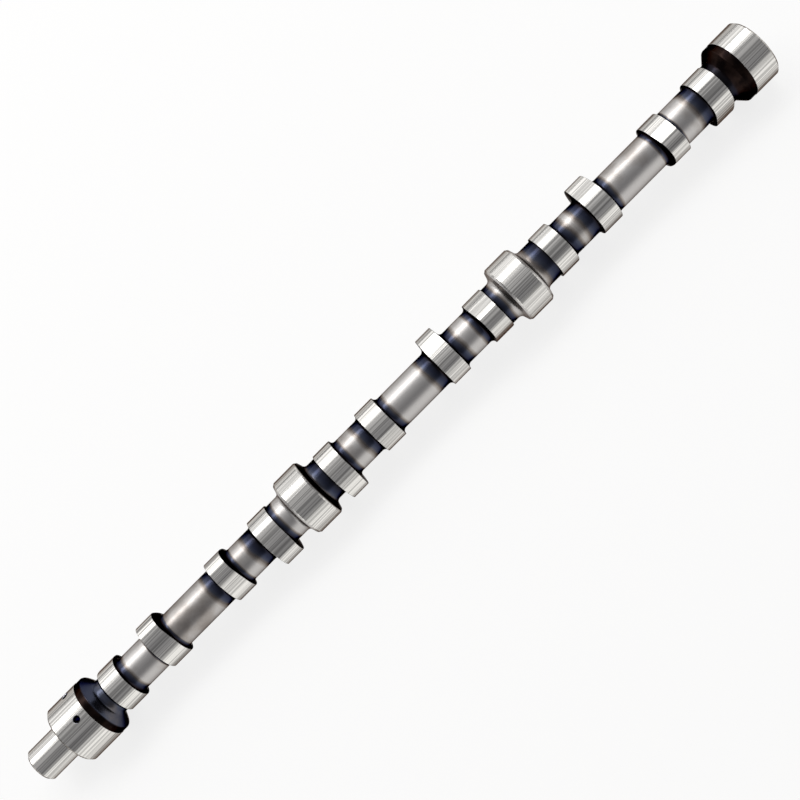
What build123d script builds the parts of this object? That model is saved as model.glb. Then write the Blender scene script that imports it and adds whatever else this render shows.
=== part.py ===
"""Camshaft of an in-line six-cylinder overhead-valve diesel engine, one forged and ground piece.

The axis lies along X, from the front end (gear seat, towards -X) to the rear journal (towards +X).
The origin is on the axis, at the front thrust face of the first bearing journal, and +Z is up: the
shaft lies on its four equal journals, with every cam nose just inside the journals' radius.
"""

from build123d import *
from math import atan2, cos, degrees, radians, sin, tan
import os

os.makedirs("parts", exist_ok=True)

# ---- layout along the shaft, in millimetres ----
firing_order = (1, 5, 3, 6, 2, 4)
cylinder_pitch = 120.0
lobe_spacing = 47.0             # between the inlet and the exhaust lobe of one cylinder
end_journal_gap = 47.0          # from the middle of an end cylinder to the end journal beside it
gear_seat_length = 35.0
front_journal_length = 37.0     # ground track and unground collar together
rear_journal_length = 30.0
middle_journal_width = 24.5
middle_journal_offset = 2.2     # from midway between two cylinders towards the shaft's middle
collar_length = 6.2             # unground collar on the inner side of both end journals
end_lobe_shift = 2.2            # the first and the last lobe stand this much nearer the ends

# ---- diameters, and how far the unground stretches lie below the cams' base circle ----
journal_d = 54.0
gear_seat_d = 30.0
base_circle_d = 39.5
shaft_drop = 3.75
rear_shaft_drop = 2.5           # between the last two lobes
front_neck_drop = 2.75          # the shaft is thicker beside the journals
middle_neck_drop = 1.5
rear_neck_drop = 0.75

# ---- shoulders, steps, chamfers and root bevels ----
front_shoulder_angle = 31.0     # of the journals' cones, from the radial plane
middle_shoulder_angle = 18.0
rear_shoulder_angle = 44.0
lobe_draft_angle = 8.0          # of the lobes' forged side faces, from the radial plane
lobe_root_share = 0.82          # of the step from shaft to base circle that the root bevel takes
shoulder_root_bevel = 1.8       # bevels are measured along both sides of their corner
collar_edge_bevel = 1.2
collar_step = 0.3               # the collar lies this far below the ground track
end_chamfer = 1.5
track_chamfer = 1.5
seat_root_bevel = 0.6           # where the gear seat meets the thrust face

# ---- cams: base circle, two round flanks and a round nose, each tangent to the next ----
inlet_lobe_width = 17.5         # over the base circle
exhaust_lobe_width = 19.0
inlet_lift = 6.5
exhaust_lift = 6.9
nose_r = 14.0
flank_start_angle = 70.0        # from the nose to where a flank leaves the base circle
first_inlet_angle = -30.0       # nose of cylinder 1's inlet lobe, about +X from +Y
lobe_separation = 105.0         # the exhaust nose leads the inlet nose of its cylinder
grinding_overrun = 0.4          # how far the grinding runs past a lobe on each side

# ---- drillings and keyway ----
oil_hole_d = 6.0
oil_hole_x = 21.2               # from the front thrust face
oil_hole_angles = (107.0, 49.0)
centre_cone_d = 12.0
centre_cone_angle = 60.0
centre_pilot_d = 5.0
centre_pilot_depth = 14.0
key_width = 8.0
key_depth = 4.0
key_length = 20.0
key_end_gap = 6.0               # from the keyway to the shaft's front end
key_angle = -60.0

# ---- worked out from the sizes above ----
cylinder_count = len(firing_order)
journal_r = journal_d / 2
collar_r = journal_r - collar_step
gear_seat_r = gear_seat_d / 2
base_r = base_circle_d / 2
blank_r = base_r + max(inlet_lift, exhaust_lift)
shaft_r = base_r - shaft_drop
rear_shaft_r = base_r - rear_shaft_drop
front_neck_r = base_r - front_neck_drop
middle_neck_r = base_r - middle_neck_drop
rear_neck_r = base_r - rear_neck_drop
front_end_x = -gear_seat_length
first_cylinder_x = front_journal_length + end_journal_gap
rear_journal_x = first_cylinder_x + (cylinder_count - 1) * cylinder_pitch + end_journal_gap
rear_end_x = rear_journal_x + rear_journal_length


# The turned outline is a list of corners (x, radius, bevel) from the front to the rear.

def gear_seat_corners():
    """Stub that carries the timing gear."""
    return [
        (front_end_x, 0, 0),
        (front_end_x, gear_seat_r, end_chamfer),
        (0, gear_seat_r, seat_root_bevel),
    ]


def end_journal_corners(outer_x, length, inward, shoulder_angle, neck_r):
    """Track, collar and cone of an end journal, from its outer face inwards."""
    collar_x = outer_x + inward * (length - collar_length)
    edge_x = outer_x + inward * length
    foot_x = edge_x + inward * (collar_r - neck_r) * tan(radians(shoulder_angle))
    return [
        (outer_x, journal_r, end_chamfer),
        (collar_x, journal_r, 0),
        (collar_x, collar_r, 0),
        (edge_x, collar_r, collar_edge_bevel),
        (foot_x, neck_r, shoulder_root_bevel),
    ]


def middle_journal_corners(middle_x):
    """Track between two conical shoulders."""
    track_half = middle_journal_width / 2
    foot_half = track_half + (journal_r - middle_neck_r) * tan(radians(middle_shoulder_angle))
    return [
        (middle_x - foot_half, middle_neck_r, shoulder_root_bevel),
        (middle_x - track_half, journal_r, track_chamfer),
        (middle_x + track_half, journal_r, track_chamfer),
        (middle_x + foot_half, middle_neck_r, shoulder_root_bevel),
    ]


def lobe_blank_corners(middle_x, width, front_r, rear_r):
    """Drafted disc as high as the tallest nose, between two stretches of shaft or neck."""
    def half_width(radius):
        return width / 2 + (base_r - radius) * tan(radians(lobe_draft_angle))

    return [
        (middle_x - half_width(front_r), front_r, lobe_root_share * (base_r - front_r)),
        (middle_x - half_width(blank_r), blank_r, 0),
        (middle_x + half_width(blank_r), blank_r, 0),
        (middle_x + half_width(rear_r), rear_r, lobe_root_share * (base_r - rear_r)),
    ]


def lobe_places(number):
    """Middle of a cylinder's inlet lobe and of its exhaust lobe."""
    middle_x = first_cylinder_x + (number - 1) * cylinder_pitch
    inlet_x = middle_x - lobe_spacing / 2
    exhaust_x = middle_x + lobe_spacing / 2
    if number == 1:
        inlet_x -= end_lobe_shift
    if number == cylinder_count:
        exhaust_x += end_lobe_shift
    return inlet_x, exhaust_x


def outline_corners():
    """All features in order: odd cylinders have a journal before them, even ones after them."""
    corners = gear_seat_corners()
    corners += end_journal_corners(0, front_journal_length, 1, front_shoulder_angle, front_neck_r)
    for number in range(1, cylinder_count + 1):
        inlet_x, exhaust_x = lobe_places(number)
        first = number == 1
        last = number == cylinder_count
        journal_before = number % 2 == 1
        front_r = front_neck_r if first else middle_neck_r if journal_before else shaft_r
        between_r = rear_shaft_r if last else shaft_r
        rear_r = rear_neck_r if last else shaft_r if journal_before else middle_neck_r
        corners += lobe_blank_corners(inlet_x, inlet_lobe_width, front_r, between_r)
        corners += lobe_blank_corners(exhaust_x, exhaust_lobe_width, between_r, rear_r)
        if not journal_before and not last:
            midway_x = first_cylinder_x + (number - 0.5) * cylinder_pitch
            towards_middle = middle_journal_offset if 2 * number < cylinder_count else -middle_journal_offset
            corners += middle_journal_corners(midway_x + towards_middle)
    corners += reversed(
        end_journal_corners(rear_end_x, rear_journal_length, -1, rear_shoulder_angle, rear_neck_r)
    )
    return corners + [(rear_end_x, 0, 0)]


def bevelled_outline(corners):
    """Points of the outline, with each bevelled corner cut back equally along both its sides."""
    points = [corners[0][:2], corners[-1][:2]]
    for before, (x, radius, bevel), after in zip(corners, corners[1:], corners[2:]):
        corner = Vector(x, radius)
        sides = [(Vector(x, radius) - corner).normalized() for x, radius, bevel in (before, after)]
        points[-1:-1] = [corner + side * bevel for side in sides] if bevel else [corner]
    return points


def flank_circle(lift):
    """Centre and radius of the upper flank, tangent inside both the base circle and the nose."""
    base_to_nose = base_r - nose_r
    nose_x = base_to_nose + lift
    start = radians(flank_start_angle)
    offset = (nose_x**2 - base_to_nose**2) / (2 * (base_to_nose - nose_x * cos(start)))
    return (-offset * cos(start), -offset * sin(start)), base_r + offset


def outward(angle):
    """Radial direction at an angle about +X from +Y."""
    return Vector(0, cos(radians(angle)), sin(radians(angle)))


with BuildPart() as camshaft:
    # The forged and turned blank, with a round disc in place of each cam.
    with BuildSketch(Plane.XY):
        with BuildLine():
            Polyline(bevelled_outline(outline_corners()), close=True)
        make_face()
    revolve(axis=Axis.X)

    # The cams, ground out of the discs: whatever lies outside the cam's outline comes off.
    for number in range(1, cylinder_count + 1):
        inlet_x, exhaust_x = lobe_places(number)
        inlet_angle = first_inlet_angle - firing_order.index(number) * 360 / cylinder_count
        cams = (
            (inlet_x, inlet_lobe_width, inlet_lift, inlet_angle),
            (exhaust_x, exhaust_lobe_width, exhaust_lift, inlet_angle + lobe_separation),
        )
        for cam_x, width, lift, nose_angle in cams:
            cut_width = width + 2 * grinding_overrun
            nose_x = base_r + lift - nose_r
            (flank_x, flank_y), flank_r = flank_circle(lift)
            nose_half = degrees(atan2(-flank_y, nose_x - flank_x))
            flank_span = flank_start_angle - nose_half
            cut_plane = Plane(
                origin=(cam_x - cut_width / 2, 0, 0), x_dir=outward(nose_angle), z_dir=(1, 0, 0)
            )
            with BuildSketch(cut_plane):
                Circle(blank_r + grinding_overrun)
                with BuildLine():
                    CenterArc((0, 0), base_r, flank_start_angle, 360 - 2 * flank_start_angle)
                    CenterArc((flank_x, flank_y), flank_r, nose_half, flank_span)
                    CenterArc((nose_x, 0), nose_r, -nose_half, 2 * nose_half)
                    CenterArc((flank_x, -flank_y), flank_r, -flank_start_angle, flank_span)
                make_face(mode=Mode.SUBTRACT)
            extrude(amount=cut_width, mode=Mode.SUBTRACT)

    # Oil passages of the front journal: two radial drillings that meet on the axis.
    for angle in oil_hole_angles:
        mouth = Vector(oil_hole_x, 0, 0) + outward(angle) * journal_r
        with Locations(Plane(origin=mouth, z_dir=outward(angle))):
            Hole(oil_hole_d / 2, depth=journal_r + oil_hole_d / 2)

    # Centre drillings in both end faces, for turning and grinding.
    for end_x, direction in ((front_end_x, -1), (rear_end_x, 1)):
        with Locations(Plane(origin=(end_x, 0, 0), z_dir=(direction, 0, 0))):
            CounterSinkHole(centre_pilot_d / 2, centre_cone_d / 2, centre_pilot_depth, centre_cone_angle)

    # Keyway for the timing gear.
    key_middle = Vector(front_end_x + key_end_gap + key_length / 2, 0, 0) + outward(key_angle) * gear_seat_r
    with BuildSketch(Plane(origin=key_middle, x_dir=(1, 0, 0), z_dir=outward(key_angle))):
        SlotOverall(key_length, key_width)
    extrude(amount=-key_depth, mode=Mode.SUBTRACT)

camshaft.part.label = "camshaft"
export_step(camshaft.part, "parts/camshaft.step")
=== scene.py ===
from math import atan2, cos, pi, radians, sin, tan

import bpy
import numpy as np
from mathutils import Matrix, Vector


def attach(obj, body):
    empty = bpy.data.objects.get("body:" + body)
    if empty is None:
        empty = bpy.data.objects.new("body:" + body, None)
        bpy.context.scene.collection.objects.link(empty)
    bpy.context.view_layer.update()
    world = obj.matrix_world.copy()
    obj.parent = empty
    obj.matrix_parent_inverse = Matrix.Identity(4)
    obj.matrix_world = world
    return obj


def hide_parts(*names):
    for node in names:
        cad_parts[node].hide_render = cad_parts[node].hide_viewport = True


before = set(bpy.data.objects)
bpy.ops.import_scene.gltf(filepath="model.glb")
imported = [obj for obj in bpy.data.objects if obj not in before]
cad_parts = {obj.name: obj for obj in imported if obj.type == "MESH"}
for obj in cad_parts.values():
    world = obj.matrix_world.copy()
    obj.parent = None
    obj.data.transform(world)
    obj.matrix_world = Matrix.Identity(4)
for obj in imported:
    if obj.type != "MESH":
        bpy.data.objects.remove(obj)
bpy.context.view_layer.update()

MM = 0.001

# ---- layout along the shaft, in millimetres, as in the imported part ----
CYLINDERS = 6
FIRING_ORDER = (1, 5, 3, 6, 2, 4)
FIRING_STEP = 60                 # degrees of the shaft from one cylinder to the next to fire
JOURNAL_BEHIND = {2: 1, 4: 0}    # cylinders with a middle journal behind: is its rear cone scaled
FIRST_CYLINDER_X = 84.0
CYLINDER_PITCH = 120.0
LOBE_SPACING = 47.0
FRONT_END_X = -35.0
FRONT_JOURNAL_LENGTH = 37.0
REAR_JOURNAL_LENGTH = 30.0
REAR_END_X = 761.0
MIDDLE_JOURNAL_WIDTH = 24.5
MIDDLE_JOURNAL_OFFSET = 2.2
COLLAR_LENGTH = 6.2
END_LOBE_SHIFT = 2.2             # the first and the last lobe stand this much nearer the ends

# ---- radii ----
JOURNAL_R = 27.0
COLLAR_R = 26.7
SEAT_R = 15.0
BASE_R = 19.75
SHAFT_R = 16.0
REAR_SHAFT_R = 17.25
FRONT_NECK_R = 17.0
MIDDLE_NECK_R = 18.25
REAR_NECK_R = 19.0

# ---- cams ----
INLET_WIDTH = 17.5
EXHAUST_WIDTH = 19.0
INLET_LIFT = 6.5
EXHAUST_LIFT = 6.9
NOSE_R = 14.0
FLANK_START = radians(70)
FIRST_INLET_ANGLE = -30.0
LOBE_SEPARATION = 105.0
DRAFT_ANGLE = radians(8)         # of the lobes' forged side faces, from the radial plane
DRAFT = tan(DRAFT_ANGLE)
LOBE_ROOT_SHARE = 0.9            # of the side face that the root fillet takes

# ---- edges and roots ----
END_CHAMFER = 1.5
TRACK_CHAMFER = 1.5
RIM_EDGE_R = 0.45
COLLAR_EDGE_R = 1.8
SHOULDER_ROOT_R = 4.0
SEAT_ROOT_R = 0.8
COLLAR_STEP_LENGTH = 0.2         # the step between track and collar leans this much
FRONT_CONE = tan(radians(31))
MIDDLE_CONE_ANGLE = radians(18)
MIDDLE_CONE = tan(MIDDLE_CONE_ANGLE)
REAR_CONE = tan(radians(44))
HALF_TINTED_END = FRONT_JOURNAL_LENGTH + 9.0   # just behind the front journal's shoulder

# ---- drillings and keyway ----
OIL_HOLE_R = 3.0
OIL_HOLE_X = 21.2
OIL_HOLE_ANGLES = (107.0, 49.0)
OIL_HOLE_DEPTH = 19.0
OIL_HOLE_POINT = 1.0             # the drill's point goes this much deeper
BORE_SHADE_DEPTH = 5.0          # from here down an oil hole's wall has the painted navy shade in full
CENTRE_CONE_R = 6.0
CENTRE_PILOT_R = 2.5
CENTRE_PILOT_DEPTH = 14.0
CENTRE_CONE_DEPTH = (CENTRE_CONE_R - CENTRE_PILOT_R) / tan(radians(30))
MOUTH_EDGE = 0.2                 # broken edge round the mouth of an oil hole or the keyway
KEY_MIDDLE_X = -19.0
KEY_LENGTH = 20.0
KEY_WIDTH = 8.0
KEY_DEPTH = 4.0
KEY_ANGLE = -60.0

# ---- heat bands on the shaft: how far each reaches before and behind its lobe, front to rear ----
TINT_BEFORE = (5, 4, 13, 15, 14, 13, 15, 8, 15, 14, 5, 14)
TINT_BEHIND = (9, 4, 5, 7, 7, 9, 12, 8, 12, 9, 4, 45)

# ---- how the surface is divided ----
COLUMNS = 216                    # round the shaft
ROOT_STEPS = 6                   # along the fillet at a root
COLLAR_STEPS = 4
SEAT_STEPS = 3
RIM_STEPS = 2
GUIDE = 30.0                     # a straight stretch is drawn this long to aim a fillet
BARE_GAP = 0.5                   # a heat band that ends nearer to a bare stretch's end gets no station
OIL_HOLE_BLOCK = 5.6, 7          # block of the grid round an oil hole: half its length, half its columns
OIL_HOLE_STATIONS = 9
KEY_BLOCK = 12.5, 12
KEY_STATIONS = 15
SAME = 0.01                      # places and radii nearer than this count as equal
JOIN_STEPS = 1e4                 # points that round to the same ten-thousandth of a millimetre are one


# ---------------------------------------------------------------- outline of a cam

def flank_circle(lift):
    """Centre and radius of the flank, which holds the base circle and the nose circle and touches
    both: the centre lies on the line from the flank's start through the axis, where it is as far
    from the nose's centre as its radius less the nose's."""
    base_to_nose = BASE_R - NOSE_R
    nose_x = base_to_nose + lift
    offset = (nose_x**2 - base_to_nose**2) / (2 * (base_to_nose - nose_x * cos(FLANK_START)))
    return -offset * cos(FLANK_START), -offset * sin(FLANK_START), BASE_R + offset


def cam_rise(turn, lift):
    """Height of the cam over its base circle at angles from the nose: the ray from the axis leaves
    the nose circle first, then the flank circle, then the base circle."""
    turn = np.abs((turn + pi) % (2 * pi) - pi)
    flank_x, flank_y, flank_r = flank_circle(lift)
    nose_x = BASE_R + lift - NOSE_R
    nose_half = atan2(-flank_y, nose_x - flank_x)
    nose_end = atan2(NOSE_R * sin(nose_half), nose_x + NOSE_R * cos(nose_half))
    across = np.minimum(nose_x * np.sin(turn), NOSE_R)
    nose = nose_x * np.cos(turn) + np.sqrt(NOSE_R**2 - across**2)
    along = flank_x * np.cos(turn) + flank_y * np.sin(turn)
    flank = along + np.sqrt(flank_r**2 - flank_x**2 - flank_y**2 + along**2)
    return np.where(turn < nose_end, nose, np.where(turn < FLANK_START, flank, BASE_R)) - BASE_R


# ---------------------------------------------------------------- places along the shaft

def lobe_places(number):
    """Middles of a cylinder's inlet and exhaust lobe: half their spacing before and behind its own."""
    middle_x = FIRST_CYLINDER_X + (number - 1) * CYLINDER_PITCH
    inlet_x = middle_x - LOBE_SPACING / 2 - (END_LOBE_SHIFT if number == 1 else 0)
    exhaust_x = middle_x + LOBE_SPACING / 2 + (END_LOBE_SHIFT if number == CYLINDERS else 0)
    return inlet_x, exhaust_x


def lobe_faces():
    """Front and rear face of each of the twelve lobes: half a width to each side of its middle."""
    faces = []
    for number in range(1, CYLINDERS + 1):
        for middle_x, width in zip(lobe_places(number), (INLET_WIDTH, EXHAUST_WIDTH)):
            faces.append((middle_x - width / 2, middle_x + width / 2))
    return faces


def band_ends():
    """Where the heat bands end before and behind the lobes."""
    before = [front - reach for (front, _), reach in zip(lobe_faces(), TINT_BEFORE)]
    behind = [rear + reach for (_, rear), reach in zip(lobe_faces(), TINT_BEHIND)]
    return before + behind


def plainness(x):
    """How far a place on the shaft is out of the heat bands: its distance from a lobe's face over
    the band's reach, the least of all lobes, from 0 at a lobe to 1 where no band reaches. The front
    journal and its shoulder get half at most."""
    nearest = np.where(x < HALF_TINTED_END, 0.5, 1.0)
    for (front, rear), before, behind in zip(lobe_faces(), TINT_BEFORE, TINT_BEHIND):
        share = np.maximum((front - x) / before, (x - rear) / behind)
        nearest = np.minimum(nearest, np.maximum(share, 0))
    return nearest


# ---------------------------------------------------------------- outline of the turned shaft

class Outline:
    """Stations from the front end to the rear end. A station has its place and radius, the share of
    the cam's rise that it takes, how far it leans along the axis with that rise, and two marks for
    the finish: ground and scaled."""

    def __init__(self):
        self.stations = []
        self.slopes = []        # slopes at both ends of the strip before a station, None if straight
        self.cams = []          # its row in the rise table, of which the last has no rise

    def point(self, x, radius, marks=(0, 0), share=0, lean=0, slopes=None, cam=-1):
        """One station."""
        self.stations.append((x, radius, share, lean, *marks))
        self.slopes.append(slopes)
        self.cams.append(cam)

    def arc(self, before, corner, after, radius, steps, first=(0, 0), last=(0, 0), share=0, lean=0, cam=-1):
        """Rounds a corner between two straight stretches with the circle that touches both: stations
        at equal angles on it, and marks that go evenly from the first pair to the last."""
        before, corner, after = (np.array(p, float) for p in (before, corner, after))
        come = (corner - before) / np.linalg.norm(corner - before)
        leave = (after - corner) / np.linalg.norm(after - corner)
        turn = atan2(come[0] * leave[1] - come[1] * leave[0], come @ leave)
        side = np.array((-come[1], come[0])) * np.sign(turn)
        start = corner - come * radius * tan(abs(turn) / 2)
        angles = np.linspace(0, abs(turn), steps + 1)
        places = start + radius * (np.outer(np.sin(angles), come) + np.outer(1 - np.cos(angles), side))
        slopes = np.outer(np.cos(angles), come) + np.outer(np.sin(angles), side)
        for k, (x, r) in enumerate(places):
            marks = np.array(first) + (np.array(last) - np.array(first)) * k / steps
            self.point(x, r, marks, share, lean, (slopes[k - 1], slopes[k]) if k else None, cam)

    def bare(self, x):
        """Stations on the bare stretch that ends at x: its middle, and where heat bands end."""
        start, radius = self.stations[-1][:2]
        ends = [end for end in band_ends() if start + BARE_GAP < end < x - BARE_GAP]
        for place in sorted(ends + [(start + x) / 2]):
            self.point(place, radius)


def add_lobe(outline, middle_x, width, front_r, rear_r, cam):
    """A cam: front root, drafted side face, rounded rim, track, and the same again behind. The
    root's radius is the one whose fillet takes its share of the side face."""
    def face(side, radius):
        """Place on a side face, which leans outwards by the draft as the radius falls."""
        return middle_x + side * (width / 2 + (BASE_R - radius) * DRAFT), radius

    for side, neck_r in ((-1, front_r), (1, rear_r)):
        face_height = BASE_R - RIM_EDGE_R - neck_r
        root_r = LOBE_ROOT_SHARE * face_height / (1 - sin(DRAFT_ANGLE))
        root = (middle_x + side * GUIDE, neck_r), face(side, neck_r), face(side, BASE_R + GUIDE)
        rim = face(side, neck_r), face(side, BASE_R), (middle_x, BASE_R)
        if side < 0:
            outline.bare(face(side, neck_r)[0] - root_r)
            outline.arc(*root, root_r, ROOT_STEPS, (0, 0.2), (0, 1), cam=cam)
            outline.arc(*rim, RIM_EDGE_R, RIM_STEPS, (0, 1), (1, 0), 1, DRAFT, cam)
            outline.point(middle_x, BASE_R, (1, 0), 1, cam=cam)
        else:
            outline.arc(*rim[::-1], RIM_EDGE_R, RIM_STEPS, (1, 0), (0, 1), 1, -DRAFT, cam)
            outline.arc(*root[::-1], root_r, ROOT_STEPS, (0, 1), (0, 0.2), cam=cam)


def add_middle_journal(outline, middle_x, front_scaled, rear_scaled):
    """Track between two conical shoulders that rise from the neck, each with the shaft's finish or
    left with its scale, and a chamfer where a shoulder meets the track."""
    track = MIDDLE_JOURNAL_WIDTH / 2
    foot = track + (JOURNAL_R - MIDDLE_NECK_R) * MIDDLE_CONE
    ends = (middle_x - foot - GUIDE, MIDDLE_NECK_R), (middle_x + foot + GUIDE, MIDDLE_NECK_R)
    feet = (middle_x - foot, MIDDLE_NECK_R), (middle_x + foot, MIDDLE_NECK_R)
    tops = (middle_x - track, JOURNAL_R), (middle_x + track, JOURNAL_R)
    outline.bare(middle_x - foot - SHOULDER_ROOT_R)
    outline.arc(ends[0], feet[0], tops[0], SHOULDER_ROOT_R, ROOT_STEPS, (0, 0), (0, front_scaled))
    drop = TRACK_CHAMFER * cos(MIDDLE_CONE_ANGLE)
    lean = drop * MIDDLE_CONE
    outline.point(middle_x - track - lean, JOURNAL_R - drop, (0, front_scaled))
    outline.point(middle_x - track + TRACK_CHAMFER, JOURNAL_R, (1, 0))
    outline.point(middle_x + track - TRACK_CHAMFER, JOURNAL_R, (1, 0))
    outline.point(middle_x + track + lean, JOURNAL_R - drop, (0, rear_scaled))
    outline.arc(tops[1], feet[1], ends[1], SHOULDER_ROOT_R, ROOT_STEPS, (0, rear_scaled), (0, 0))


def shaft_outline():
    """The whole outline, with rows of stations where the oil holes and the keyway are let in."""
    outline = Outline()
    x = FRONT_END_X
    # The front centre hole takes the scaled mark: it renders near-black down its pilot and lighter towards
    # its mouth.
    outline.point(x + CENTRE_PILOT_DEPTH, 0, (0, 1))
    outline.point(x + CENTRE_PILOT_DEPTH, CENTRE_PILOT_R, (0, 1))
    outline.point(x + CENTRE_CONE_DEPTH, CENTRE_PILOT_R, (0.3, 0.5))
    outline.point(x, CENTRE_CONE_R, (0.7, 0))
    outline.point(x, SEAT_R - END_CHAMFER, (0.6, 0))
    outline.point(x + END_CHAMFER, SEAT_R, (0.8, 0))
    for place in np.linspace(-KEY_BLOCK[0], KEY_BLOCK[0], KEY_STATIONS):
        outline.point(KEY_MIDDLE_X + place, SEAT_R, (1, 0))
    before, corner, after = (FRONT_END_X, SEAT_R), (0, SEAT_R), (0, JOURNAL_R)
    outline.arc(before, corner, after, SEAT_ROOT_R, SEAT_STEPS, (1, 0), (0.8, 0))
    outline.point(0, JOURNAL_R - END_CHAMFER, (0.8, 0))
    outline.point(END_CHAMFER, JOURNAL_R, (0.9, 0))
    for place in np.linspace(-OIL_HOLE_BLOCK[0], OIL_HOLE_BLOCK[0], OIL_HOLE_STATIONS):
        outline.point(OIL_HOLE_X + place, JOURNAL_R, (1, 0))
    track_end = FRONT_JOURNAL_LENGTH - COLLAR_LENGTH
    edge = (FRONT_JOURNAL_LENGTH, COLLAR_R)
    foot = (FRONT_JOURNAL_LENGTH + (COLLAR_R - FRONT_NECK_R) * FRONT_CONE, FRONT_NECK_R)
    outline.point(track_end - COLLAR_STEP_LENGTH, JOURNAL_R, (1, 0))
    outline.point(track_end, COLLAR_R, (0, 1))
    outline.arc((track_end, COLLAR_R), edge, foot, COLLAR_EDGE_R, COLLAR_STEPS, (0, 1), (0, 0.3))
    outline.arc(edge, foot, (foot[0] + GUIDE, FRONT_NECK_R), SHOULDER_ROOT_R, ROOT_STEPS)

    for number in range(1, CYLINDERS + 1):
        middle_x = FIRST_CYLINDER_X + (number - 1) * CYLINDER_PITCH
        journal_before = number % 2 == 1
        front_r = FRONT_NECK_R if number == 1 else MIDDLE_NECK_R if journal_before else SHAFT_R
        between_r = REAR_SHAFT_R if number == CYLINDERS else SHAFT_R
        rear_r = REAR_NECK_R if number == CYLINDERS else SHAFT_R if journal_before else MIDDLE_NECK_R
        cam = 2 * (number - 1)
        inlet_x, exhaust_x = lobe_places(number)
        add_lobe(outline, inlet_x, INLET_WIDTH, front_r, between_r, cam)
        add_lobe(outline, exhaust_x, EXHAUST_WIDTH, between_r, rear_r, cam + 1)
        if number in JOURNAL_BEHIND:
            offset = MIDDLE_JOURNAL_OFFSET if number == 2 else -MIDDLE_JOURNAL_OFFSET
            journal_x = middle_x + CYLINDER_PITCH / 2 + offset
            add_middle_journal(outline, journal_x, 0, JOURNAL_BEHIND[number])

    inner_x = REAR_END_X - REAR_JOURNAL_LENGTH
    track_start = inner_x + COLLAR_LENGTH
    edge = (inner_x, COLLAR_R)
    foot = (inner_x - (COLLAR_R - REAR_NECK_R) * REAR_CONE, REAR_NECK_R)
    outline.bare(foot[0] - SHOULDER_ROOT_R)
    outline.arc((foot[0] - GUIDE, REAR_NECK_R), foot, edge, SHOULDER_ROOT_R, ROOT_STEPS, (0, 0.3), (0, 0.8))
    outline.arc(foot, edge, (track_start, COLLAR_R), COLLAR_EDGE_R, COLLAR_STEPS, (0, 1), (0, 1))
    outline.point(track_start, COLLAR_R, (0, 1))
    outline.point(track_start + COLLAR_STEP_LENGTH, JOURNAL_R, (1, 0))
    outline.point(REAR_END_X - END_CHAMFER, JOURNAL_R, (1, 0))
    outline.point(REAR_END_X, JOURNAL_R - END_CHAMFER, (0.8, 0))
    # The rear centre hole likewise renders near-black down its pilot and lighter towards its mouth.
    outline.point(REAR_END_X, CENTRE_CONE_R, (0.6, 0))
    outline.point(REAR_END_X - CENTRE_CONE_DEPTH, CENTRE_PILOT_R, (0.3, 0.5))
    outline.point(REAR_END_X - CENTRE_PILOT_DEPTH, CENTRE_PILOT_R, (0, 1))
    outline.point(REAR_END_X - CENTRE_PILOT_DEPTH, 0, (0, 1))
    return outline


def rise_table(angles):
    """Rise of each of the twelve cams at angles about the shaft, and none in a last row. Along the
    firing order each inlet nose stands one firing step further back, and an exhaust nose stands the
    lobe separation ahead of its inlet nose."""
    rows = []
    for number in range(1, CYLINDERS + 1):
        inlet = FIRST_INLET_ANGLE - FIRING_STEP * FIRING_ORDER.index(number)
        rows.append(cam_rise(angles - radians(inlet), INLET_LIFT))
        rows.append(cam_rise(angles - radians(inlet + LOBE_SEPARATION), EXHAUST_LIFT))
    return np.array(rows + [np.zeros(len(angles))])


# ---------------------------------------------------------------- the surface

def radial(angles):
    """Unit vectors away from the axis at angles about +X from +Y: cosine on Y, sine on Z."""
    return np.stack([np.zeros_like(angles), np.cos(angles), np.sin(angles)], -1)


def around(angles):
    """Unit vectors round the axis: minus sine on Y, cosine on Z."""
    return np.stack([np.zeros_like(angles), -np.sin(angles), np.cos(angles)], -1)


ALONG = np.array((1.0, 0.0, 0.0))


class Surface:
    """Points with their marks for the finish (ground, scaled, and the painted navy shade down an oil hole's
    wall), and four-cornered faces with a normal at each corner."""

    def __init__(self):
        self.points = np.zeros((0, 3))
        self.marks = np.zeros((0, 3))
        self.faces = []
        self.normals = []

    def add_points(self, points, marks):
        """Points in an array of any shape, with marks to match or one set for all. Returns their
        numbers in the same shape."""
        first = len(self.points)
        self.points = np.vstack([self.points, points.reshape(-1, 3)])
        self.marks = np.vstack([self.marks, np.broadcast_to(marks, (*points.shape[:-1], 3)).reshape(-1, 3)])
        return first + np.arange(points[..., 0].size).reshape(points.shape[:-1])

    def add_faces(self, corners, normals):
        """Corners and their normals as arrays that end in four corners."""
        self.faces.append(corners.reshape(-1, 4))
        self.normals.append(normals.reshape(-1, 4, 3))


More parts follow.
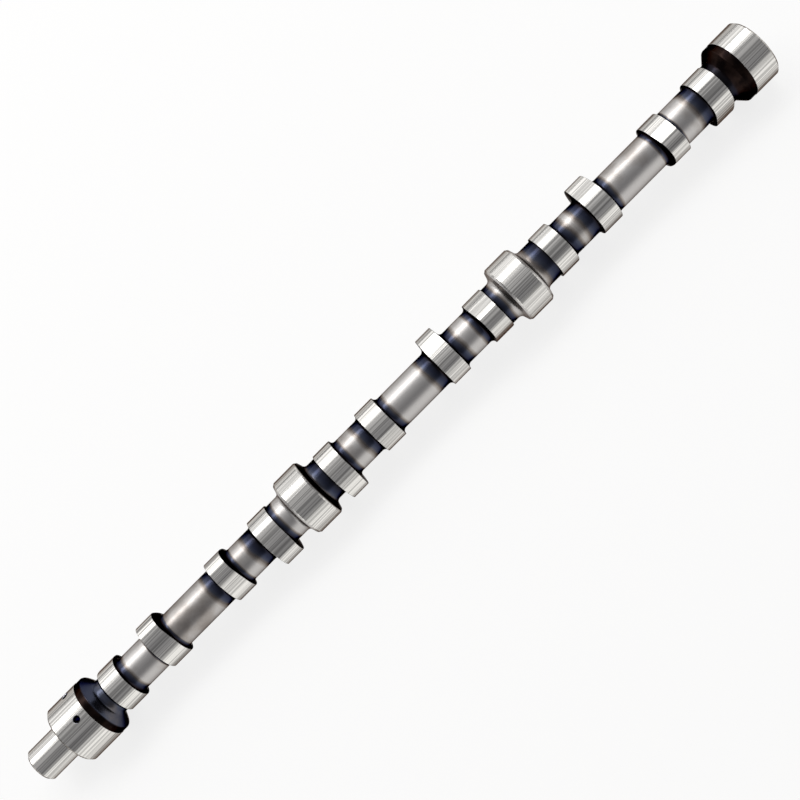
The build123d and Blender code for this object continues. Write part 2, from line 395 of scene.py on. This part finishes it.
def turned_grid(surface, outline):
    """The shaft as a function of station and angle: place and radius of the station, plus its share
    of the cam's rise at that angle. A normal is square to the outline's slope and to the rise's
    growth round the shaft. Returns the point numbers, one row for each station, and the normals at
    the front and at the rear of each strip between two stations."""
    angles = 2 * pi * np.arange(COLUMNS) / COLUMNS
    step = 1e-4             # radians over which the rise's growth is taken
    axis_clear = 0.5        # keeps the division finite on the axis
    cams = np.array(outline.cams)
    rise = rise_table(angles)[cams]
    growth = (rise_table(angles + step) - rise_table(angles - step))[cams] / (2 * step)
    x, radius, share, lean, ground, scaled = (c[:, None] for c in np.array(outline.stations, float).T)
    x = x + lean * share * rise
    radius = radius + share * rise
    shift = lean * share * growth
    swell = share * growth
    points = x[..., None] * ALONG + radius[..., None] * radial(angles)
    marks = np.stack([ground + 0 * x, scaled + 0 * x, 0 * x], -1)
    numbers = surface.add_points(points, marks)

    chord = np.stack([np.diff(x, axis=0), np.diff(radius, axis=0)], -1)
    slopes = [chord.copy(), chord.copy()]
    for k, given in enumerate(outline.slopes[1:]):
        if given is not None:
            slopes[0][k] = given[0]
            slopes[1][k] = given[1]
    normals = []
    for slope, rows in zip(slopes, (slice(0, -1), slice(1, None))):
        tilt = slope[..., 1] * shift[rows] - slope[..., 0] * swell[rows]
        tilt = tilt / np.maximum(radius[rows], axis_clear)
        forward, outward = slope[..., 0, None], slope[..., 1, None]
        normal = outward * -ALONG + forward * radial(angles) + tilt[..., None] * around(angles)
        normals.append(normal / np.linalg.norm(normal, axis=-1, keepdims=True))
    return numbers, normals


def pocket(numbers, surface, outline, middle_x, angle, block, half_length, crown_r, rings):
    """Lets a round-ended pocket into the turned grid: rings shrink from the edge of a cut-out block
    of the grid to the pocket's mouth, go down its wall and close on its middle line. A ring is its
    distance from the middle line, its depth, whether it follows the shaft's curve, and its marks
    for the finish. Returns the rows and columns of the block."""
    x, radius = np.array([s[:2] for s in outline.stations], float).T
    half_block, half_columns = block
    rows = np.flatnonzero((np.abs(x - middle_x) < half_block + SAME) & (np.abs(radius - crown_r) < SAME))
    column = round(angle / 360 * COLUMNS)
    columns = np.arange(column - half_columns, column + half_columns + 1)
    cut = numbers[rows[0]:rows[-1] + 1][:, columns % COLUMNS]
    edge = np.concatenate([cut[0, :-1], cut[:-1, -1], cut[-1, :0:-1], cut[:0:-1, 0]])
    up = radial(np.array(radians(angle)))
    side = around(np.array(radians(angle)))
    place = surface.points[edge] - ALONG * middle_x
    u, v = place @ ALONG, place @ side
    core = np.clip(u, -half_length, half_length)
    reach = np.hypot(u - core, v)
    out_u, out_v = (u - core) / reach, v / reach
    last_numbers, last_ring, last_depth = edge, reach, 0
    for ring, depth, curved, mark in rings:
        mouth_u, mouth_v = core + out_u * ring, out_v * ring
        crown = np.sqrt(crown_r**2 - mouth_v**2) if curved else crown_r
        height = crown - depth + 0 * mouth_v
        points = np.stack([middle_x + mouth_u, mouth_v, height], 1) @ np.array([ALONG, side, up])
        here = surface.add_points(points, np.array(mark))
        run, drop = ring - last_ring, depth - last_depth
        length = np.hypot(run, drop)
        wall = -drop / length
        top = -run / length
        outward = out_u[:, None] * ALONG + out_v[:, None] * side
        normal = wall[..., None] * outward + top[..., None] * up
        if depth == 0:
            normal = points - (middle_x + mouth_u)[:, None] * ALONG
            start = surface.points[last_numbers] * (0, 1, 1)
            start = start / np.linalg.norm(start, axis=1, keepdims=True)
        else:
            start = normal
        normal = normal / np.linalg.norm(normal, axis=1, keepdims=True)
        follow = np.roll(np.arange(len(edge)), -1)
        surface.add_faces(
            np.stack([last_numbers, last_numbers[follow], here[follow], here], -1),
            np.stack([start, start[follow], normal[follow], normal], 1),
        )
        last_numbers, last_ring, last_depth = here, ring, depth
    return rows, columns


def close_up(surface):
    """Joins points that lie on each other. Returns points, marks, corners and their normals."""
    keys = np.round(surface.points * JOIN_STEPS).astype(np.int64)
    _, first, joined = np.unique(keys, axis=0, return_index=True, return_inverse=True)
    corners = joined.reshape(-1)[np.concatenate(surface.faces)]
    normals = np.concatenate(surface.normals)
    return surface.points[first], surface.marks[first], corners, normals


def make_mesh(name, surface):
    """The surface as one mesh with its normals and marks. A face whose corners were joined keeps
    one of them, and a face left with two corners is dropped."""
    points, marks, corners, normals = close_up(surface)
    distinct = corners != np.roll(corners, 1, axis=1)
    whole = distinct.sum(1) > 2
    distinct, corners, normals = distinct[whole], corners[whole], normals[whole]
    sizes = distinct.sum(1)
    mesh = bpy.data.meshes.new(name)
    mesh.vertices.add(len(points))
    mesh.vertices.foreach_set("co", (points * MM).ravel().astype(np.float32))
    mesh.loops.add(int(sizes.sum()))
    mesh.loops.foreach_set("vertex_index", corners[distinct].astype(np.int32))
    mesh.polygons.add(len(sizes))
    mesh.polygons.foreach_set("loop_start", (np.cumsum(sizes) - sizes).astype(np.int32))
    mesh.update(calc_edges=True)
    mesh.polygons.foreach_set("use_smooth", np.ones(len(sizes), bool))
    mesh.normals_split_custom_set(normals[distinct].tolist())
    # The third mark is the painted navy shade down the oil holes' walls.
    for label, values in (
        ("ground", marks[:, 0]), ("scaled", marks[:, 1]), ("painted_bore_shade", marks[:, 2]),
        ("plain", plainness(points[:, 0])),
    ):
        mesh.attributes.new(label, "FLOAT", "POINT").data.foreach_set("value", values.astype(np.float32))
    return mesh


def make_camshaft():
    """The turned grid with two oil holes and the keyway let in, as one closed mesh."""
    outline = shaft_outline()
    surface = Surface()
    numbers, normals = turned_grid(surface, outline)
    cells = np.ones((len(numbers) - 1, COLUMNS), bool)
    # The third mark of each oil-hole ring paints navy shade down the hole's wall, in full from 5 mm deep.
    oil_rings = (
        (OIL_HOLE_R + MOUTH_EDGE, 0, True, (1, 0, 0)),
        (OIL_HOLE_R, MOUTH_EDGE, True, (0.6, 0, 0.5)),
        (OIL_HOLE_R, BORE_SHADE_DEPTH, True, (0.2, 0, 1)),
        (OIL_HOLE_R, OIL_HOLE_DEPTH, False, (0, 0, 1)),
        (0, OIL_HOLE_DEPTH + OIL_HOLE_POINT, False, (0, 0, 1)),
    )
    key_rings = (
        (KEY_WIDTH / 2 + MOUTH_EDGE, 0, True, (1, 0, 0)),
        (KEY_WIDTH / 2, MOUTH_EDGE, True, (0.7, 0, 0)),
        (KEY_WIDTH / 2, KEY_DEPTH, False, (0.5, 0, 0)),
        (0, KEY_DEPTH, False, (0.5, 0, 0)),
    )
    cuts = [(OIL_HOLE_X, angle, OIL_HOLE_BLOCK, 0, JOURNAL_R, oil_rings) for angle in OIL_HOLE_ANGLES]
    cuts.append((KEY_MIDDLE_X, KEY_ANGLE, KEY_BLOCK, (KEY_LENGTH - KEY_WIDTH) / 2, SEAT_R, key_rings))
    for cut in cuts:
        rows, columns = pocket(numbers, surface, outline, *cut)
        cells[rows[0]:rows[-1], (columns[:-1] % COLUMNS)[:, None]] = False
    follow = np.roll(np.arange(COLUMNS), -1)
    corners = np.stack([numbers[:-1], numbers[:-1][:, follow], numbers[1:][:, follow], numbers[1:]], -1)
    corner_normals = np.stack([normals[0], normals[0][:, follow], normals[1][:, follow], normals[1]], 2)
    surface.add_faces(corners[cells], corner_normals[cells])
    mesh = make_mesh("camshaft_surface", surface)
    piece = bpy.data.objects.new("camshaft_ground", mesh)
    bpy.context.scene.collection.objects.link(piece)
    return piece


# ---------------------------------------------------------------- finish

class Value:
    """A number or colour socket on which shader maths is written as Python expressions."""

    def __init__(self, nodes, socket):
        self.nodes = nodes
        self.socket = socket

    def _math(self, operation, *inputs, clamp=False):
        """The Math node for an operator."""
        return self.nodes.add("ShaderNodeMath", {"operation": operation, "use_clamp": clamp}, *inputs)

    def __add__(self, other):
        return self._math("ADD", self, other)

    def __radd__(self, other):
        return self._math("ADD", other, self)

    def __sub__(self, other):
        return self._math("SUBTRACT", self, other)

    def __rsub__(self, other):
        return self._math("SUBTRACT", other, self)

    def __mul__(self, other):
        return self._math("MULTIPLY", self, other)

    def __rmul__(self, other):
        return self._math("MULTIPLY", other, self)

    def clamp(self):
        """The value itself, held between 0 and 1."""
        return self._math("ADD", self, 0.0, clamp=True)

    def between(self, low, high):
        """0 below low, 1 above high, with soft ends."""
        return self.nodes.add("ShaderNodeMapRange", {"interpolation_type": "SMOOTHSTEP"}, self, low, high)


class Nodes:
    """Adds nodes to a material's or world's tree."""

    def __init__(self, tree):
        self.tree = tree
        tree.nodes.clear()

    def add(self, kind, settings, *inputs, output=0, **named):
        """A node of a type, with its settings first and then its sockets in order or by name."""
        node = self.tree.nodes.new(kind)
        for name, value in settings.items():
            if name == "stops":
                ramp = node.color_ramp
                while len(ramp.elements) > 1:
                    ramp.elements.remove(ramp.elements[-1])
                for k, (place, colour) in enumerate(value):
                    stop = ramp.elements[0] if k == 0 else ramp.elements.new(place)
                    stop.position = place
                    stop.color = (*colour, 1)
            else:
                setattr(node, name, value)
        for key, value in [*enumerate(inputs), *((n.replace("_", " "), v) for n, v in named.items())]:
            socket = node.inputs[key]
            if isinstance(value, Value):
                self.tree.links.new(value.socket, socket)
            elif value is not None:
                if hasattr(value, "__len__") and len(value) == 3 and socket.type == "RGBA":
                    value = (*value, 1)
                socket.default_value = value
        return Value(self, node.outputs[output]) if len(node.outputs) else None

    def mix(self, share, first, second, blend="MIX"):
        """Colours first and second, with the given share of the second."""
        node = self.tree.nodes.new("ShaderNodeMix")
        node.data_type = "RGBA"
        node.blend_type = blend
        for socket, value in ((node.inputs[0], share), (node.inputs[6], first), (node.inputs[7], second)):
            if isinstance(value, Value):
                self.tree.links.new(value.socket, socket)
            else:
                socket.default_value = (*value, 1) if hasattr(value, "__len__") else value
        return Value(self, node.outputs[2])

    def attribute(self, name):
        """One of the marks for the finish."""
        return self.add("ShaderNodeAttribute", {"attribute_name": name}, output=2)

    def noise(self, vector, scale, detail=2.0, roughness=0.5):
        """A cloudy pattern round 0.5. The scale is its clouds per unit of the vector."""
        return self.add(
            "ShaderNodeTexNoise", {}, Vector=vector, Scale=scale, Detail=detail, Roughness=roughness
        )

    def stretch(self, vector, scale):
        """The vector times a scale on each axis."""
        return self.add("ShaderNodeMapping", {}, Vector=vector, Scale=scale)


def steel_finish():
    """Ground tracks with fine lines along the shaft, satin shaft, blue-black heat tint beside each
    hardened track, and dark brown scale on the forged side faces. Painted shade: navy down the oil
    holes' walls, and a dark brown edge tint that darkens the steel's reflections at grazing angles
    into dark rims. Colours are laid over each other by their marks: shaft, then scale, then track, then
    the painted navy of the oil holes. Roughness goes by the first three."""
    material = bpy.data.materials.new("camshaft_steel_finish")
    material.use_nodes = True
    n = Nodes(material.node_tree)
    place = n.add("ShaderNodeTexCoord", {}, output=3)
    ground = n.attribute("ground").between(0.25, 0.75)
    scaled = n.attribute("scaled").between(0.3, 0.9)
    # Painted shade: how much of the navy painted down an oil hole's wall a point takes.
    painted_bore_shade = n.attribute("painted_bore_shade")
    plain = n.attribute("plain")

    lines = n.noise(n.stretch(place, (4, 620, 620)), 1.0, 3.0, 0.7)
    rings = n.noise(n.stretch(place, (2500, 30, 30)), 1.0, 2.0)
    cloud = n.noise(place, 90.0, 4.0, 0.6)
    drift = n.noise(place, 34.0, 1.0)
    grain = n.noise(place, 1400.0, 3.0, 0.6)

    tint = n.add(
        "ShaderNodeValToRGB",
        {"stops": (
            (0.0, (0.013, 0.012, 0.015)), (0.36, (0.036, 0.042, 0.072)), (0.56, (0.070, 0.078, 0.108)),
            (0.72, (0.17, 0.150, 0.138)), (0.88, (0.40, 0.37, 0.345)), (1.0, (0.58, 0.565, 0.55)),
        )},
        plain + (cloud - 0.5) * 0.25 + (drift - 0.5) * 0.5,
    )
    shaft = n.mix((grain - 0.5) * 0.5 + 0.2, tint, (0.75, 0.72, 0.70), "MULTIPLY")
    scale_colour = n.mix(cloud.between(0.35, 0.65), (0.006, 0.004, 0.004), (0.020, 0.012, 0.010))
    track = n.mix(lines.between(0.40, 0.60), (0.45, 0.44, 0.42), (0.86, 0.84, 0.80))
    colour = n.mix(scaled, shaft, scale_colour)
    colour = n.mix(ground, colour, track)
    # Painted shade: navy painted down the oil holes' walls, the look of their shaded insides.
    colour = n.mix(painted_bore_shade, colour, (0.06, 0.08, 0.40))

    rough = 0.18 + plain.between(0.4, 1.0) * 0.17 + (grain - 0.5) * 0.10
    rough = rough + scaled * (0.24 - rough)
    rough = rough + ground * (0.14 - rough)
    rough = rough + (lines - 0.5) * ground * 0.10

    height = (lines - 0.5) * ground + (rings - 0.5) * (1.0 - ground) * 0.04
    height = height + (grain - 0.5) * (1.0 - ground) * 0.08
    bump = n.add("ShaderNodeBump", {}, Strength=1.0, Distance=0.00007, Height=height)
    # Painted shade: the dark brown Specular_Tint darkens the steel's reflections at grazing angles into
    # dark rims, whatever lies around.
    shader = n.add(
        "ShaderNodeBsdfPrincipled", {}, Base_Color=colour, Metallic=1.0, Roughness=rough, Normal=bump,
        Specular_Tint=(0.08, 0.04, 0.025),
    )
    n.add("ShaderNodeOutputMaterial", {}, shader)
    return material


# ---------------------------------------------------------------- studio

def white_share(n, strength):
    """This strength for camera, glossy and transmission rays alike, and none for the others."""
    camera = n.add("ShaderNodeLightPath", {})
    paths = camera.socket.node.outputs
    glossy, clear = Value(n, paths["Is Glossy Ray"]), Value(n, paths["Is Transmission Ray"])
    return (camera + glossy + clear).clamp() * strength


def studio_floor(height):
    """A plain pale floor all round the shaft, which stays white to the eye and in the steel, and
    keeps the shaft's shadow."""
    reach = 30.0
    corners = ((-1, -1), (1, -1), (1, 1), (-1, 1))
    mesh = bpy.data.meshes.new("floor")
    mesh.from_pydata([(x * reach, y * reach, height) for x, y in corners], [], [(0, 1, 2, 3)])
    floor = bpy.data.objects.new("floor", mesh)
    bpy.context.scene.collection.objects.link(floor)
    material = bpy.data.materials.new("floor_finish")
    material.use_nodes = True
    n = Nodes(material.node_tree)
    paper = n.add("ShaderNodeBsdfDiffuse", {}, (0.93, 0.92, 0.90))
    white = n.add("ShaderNodeEmission", {}, (1, 1, 1), 1.0)
    n.add(
        "ShaderNodeOutputMaterial", {},
        n.add("ShaderNodeMixShader", {}, white_share(n, 0.8), paper, white),
    )
    mesh.materials.append(material)


def soft_box(name, angle, spread, x_range, distance, strength):
    """A long white light panel that faces the shaft's axis, at an angle about +X from +Y. Its width
    is twice the distance times the tangent of half its spread, and its power is the strength times
    pi times its area."""
    light = bpy.data.lights.new(name, "AREA")
    light.shape = "RECTANGLE"
    light.size = x_range[1] - x_range[0]
    light.size_y = 2 * distance * tan(radians(spread / 2))
    light.energy = strength * pi * light.size * light.size_y
    lamp = bpy.data.objects.new(name, light)
    out = Vector((0, cos(radians(angle)), sin(radians(angle))))
    place = out * distance + Vector((sum(x_range) / 2, 0, 0))
    turn = Vector((1, 0, 0)), out.cross(Vector((1, 0, 0))), out
    lamp.matrix_world = Matrix.Translation(place) @ Matrix(turn).transposed().to_4x4()
    bpy.context.scene.collection.objects.link(lamp)


def studio_world():
    """A plain grey room, pale at the horizon, darker above it and lighter again overhead, the same
    for every ray."""
    world = bpy.data.worlds.new("studio")
    bpy.context.scene.world = world
    world.use_nodes = True
    n = Nodes(world.node_tree)
    above = n.add("ShaderNodeSeparateXYZ", {}, n.add("ShaderNodeTexCoord", {}), output=2)
    room = n.add(
        "ShaderNodeValToRGB",
        {"stops": (
            (0.0, (0.90, 0.90, 0.90)), (0.06, (0.80, 0.80, 0.80)), (0.25, (0.28, 0.28, 0.29)),
            (0.55, (0.22, 0.22, 0.23)), (0.85, (0.34, 0.34, 0.35)), (1.0, (0.50, 0.50, 0.51)),
        )},
        above,
    )
    n.add("ShaderNodeOutputWorld", {}, n.add("ShaderNodeBackground", {}, room, 1.0))


def studio_camera():
    """Long view from the front side, 60 degrees above the floor, with the shaft across the frame.
    The camera turns sideways about its target, then rolls about its own view."""
    elevation = radians(60)
    target = Vector((0.3721, 0, 0))
    distance = 1.020
    sideways = radians(1.4)
    roll = radians(45.22)
    facing = Vector((0, -cos(elevation), sin(elevation)))
    along = Vector((1, 0, 0))
    back = facing * cos(sideways) + along * sin(sideways)
    right = along * cos(sideways) - facing * sin(sideways)
    up = back.cross(right)
    image_right = right * cos(roll) - up * sin(roll)
    image_up = right * sin(roll) + up * cos(roll)
    data = bpy.data.cameras.new("camera")
    data.sensor_width = 36
    data.lens = 58.35
    data.shift_x = -0.00275
    data.shift_y = 0.00275
    data.clip_start = 0.05
    data.clip_end = 50
    camera = bpy.data.objects.new("camera", data)
    axes = Matrix((image_right, image_up, back)).transposed()
    camera.matrix_world = Matrix.Translation(target + back * distance) @ axes.to_4x4()
    bpy.context.scene.collection.objects.link(camera)
    bpy.context.scene.camera = camera


piece = make_camshaft()
piece.data.materials.append(steel_finish())
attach(piece, "root")
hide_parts("camshaft")

floor_gap = 0.0001
lamp_span = (-3.2, 3.9)
studio_floor(-JOURNAL_R * MM - floor_gap)
studio_world()
soft_box("back_light", angle=49, spread=64, x_range=lamp_span, distance=3.0, strength=0.95)
soft_box("top_tube", angle=60, spread=16, x_range=lamp_span, distance=2.9, strength=2.6)
studio_camera()

bpy.context.scene.view_settings.view_transform = "Standard"
